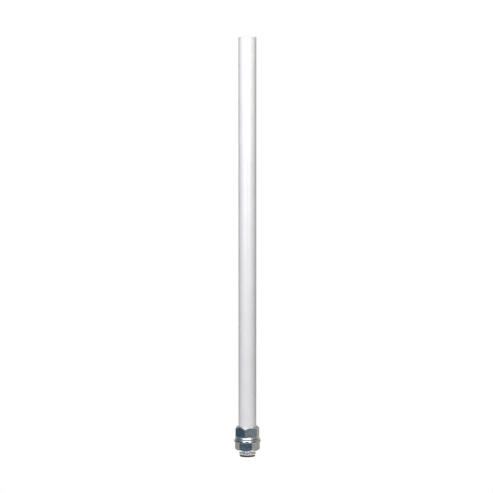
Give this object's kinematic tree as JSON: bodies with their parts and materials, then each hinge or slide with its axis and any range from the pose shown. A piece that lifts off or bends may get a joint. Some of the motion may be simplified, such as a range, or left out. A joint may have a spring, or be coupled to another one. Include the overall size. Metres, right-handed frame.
{
  "type": "omnidirectional antenna",
  "caption": "Upright omnidirectional antenna: slim white fibreglass tube on a hexagonal base fitting, with washers, clamp nut and a threaded coaxial connector below.",
  "frame": {"origin": "on the antenna's axis in the clamp plane, where the top of the mounting panel bears on the flat washer", "axes": "+Z along the axis towards the top cap, -Y towards the front of the radiator board"},
  "size_m": [0.0252, 0.0252, 0.3966],
  "materials": {
    "radome": "satin white fibreglass",
    "cap": "satin white plastic",
    "zinc_steel": "bright zinc plate",
    "spring_steel": "bright zinc plate with a faint green cast",
    "nickel_brass": "bright nickel plate",
    "gold_contact": "gold plate",
    "bare_brass": "plain brass",
    "ptfe": "waxy white fluoropolymer",
    "black_plastic": "soft black plastic",
    "seal_rubber": "black rubber",
    "copper": "bare copper",
    "silver_wire": "silver-plated copper",
    "laminate": "glass-epoxy laminate",
    "solder": "solder",
    "foam": "closed-cell foam"
  },
  "bodies": {
    "antenna": {"radome_tube": "radome", "top_cap": "cap", "cap_seal_ring": "seal_rubber", "base_fitting": "zinc_steel", "base_seal_ring": "seal_rubber", "connector_barrel": "nickel_brass", "front_insulator": "ptfe", "centre_contact": "gold_contact", "rear_insulator": "ptfe", "earthing_bush": "bare_brass", "feed_inner_conductor": "silver_wire", "feed_dielectric": "ptfe", "feed_outer_conductor": "copper", "choke_sleeve": "bare_brass", "choke_spacer": "ptfe", "radiator_board": "laminate", "front_elements": "copper", "rear_elements": "copper", "earthing_pins": "silver_wire", "feed_solder": "solder", "foam_spacers": "foam", "top_cushion": "foam"},
    "flat_washer": {"flat_washer": "zinc_steel"},
    "lock_washer": {"lock_washer": "spring_steel"},
    "clamp_nut": {"clamp_nut": "zinc_steel"},
    "dust_plug": {"dust_plug": "black_plastic"}
  },
  "joints": [
    {"name": "washer_slide", "type": "slide", "parent": "antenna", "child": "flat_washer", "axis": [0, 0, -1], "range_m": [0, 0.0096]},
    {"name": "lock_washer_slide", "type": "slide", "parent": "antenna", "child": "lock_washer", "axis": [0, 0, -1], "range_m": [0, 0.0096]},
    {"name": "nut_spin", "type": "hinge", "parent": "flat_washer", "child": "clamp_nut", "pos_m": [0, 0, 0], "axis": [0, 0, -1], "range_deg": [0, 3240]},
    {"name": "dust_plug_pull", "type": "slide", "parent": "antenna", "child": "dust_plug", "axis": [0, 0, -1], "range_m": [0, 0.015]}
  ],
  "couplings": [
    {"joint": "washer_slide", "follows": "nut_spin", "m_per_rad": 0.00016844},
    {"joint": "lock_washer_slide", "follows": "nut_spin", "m_per_rad": 0.00016844}
  ]
}
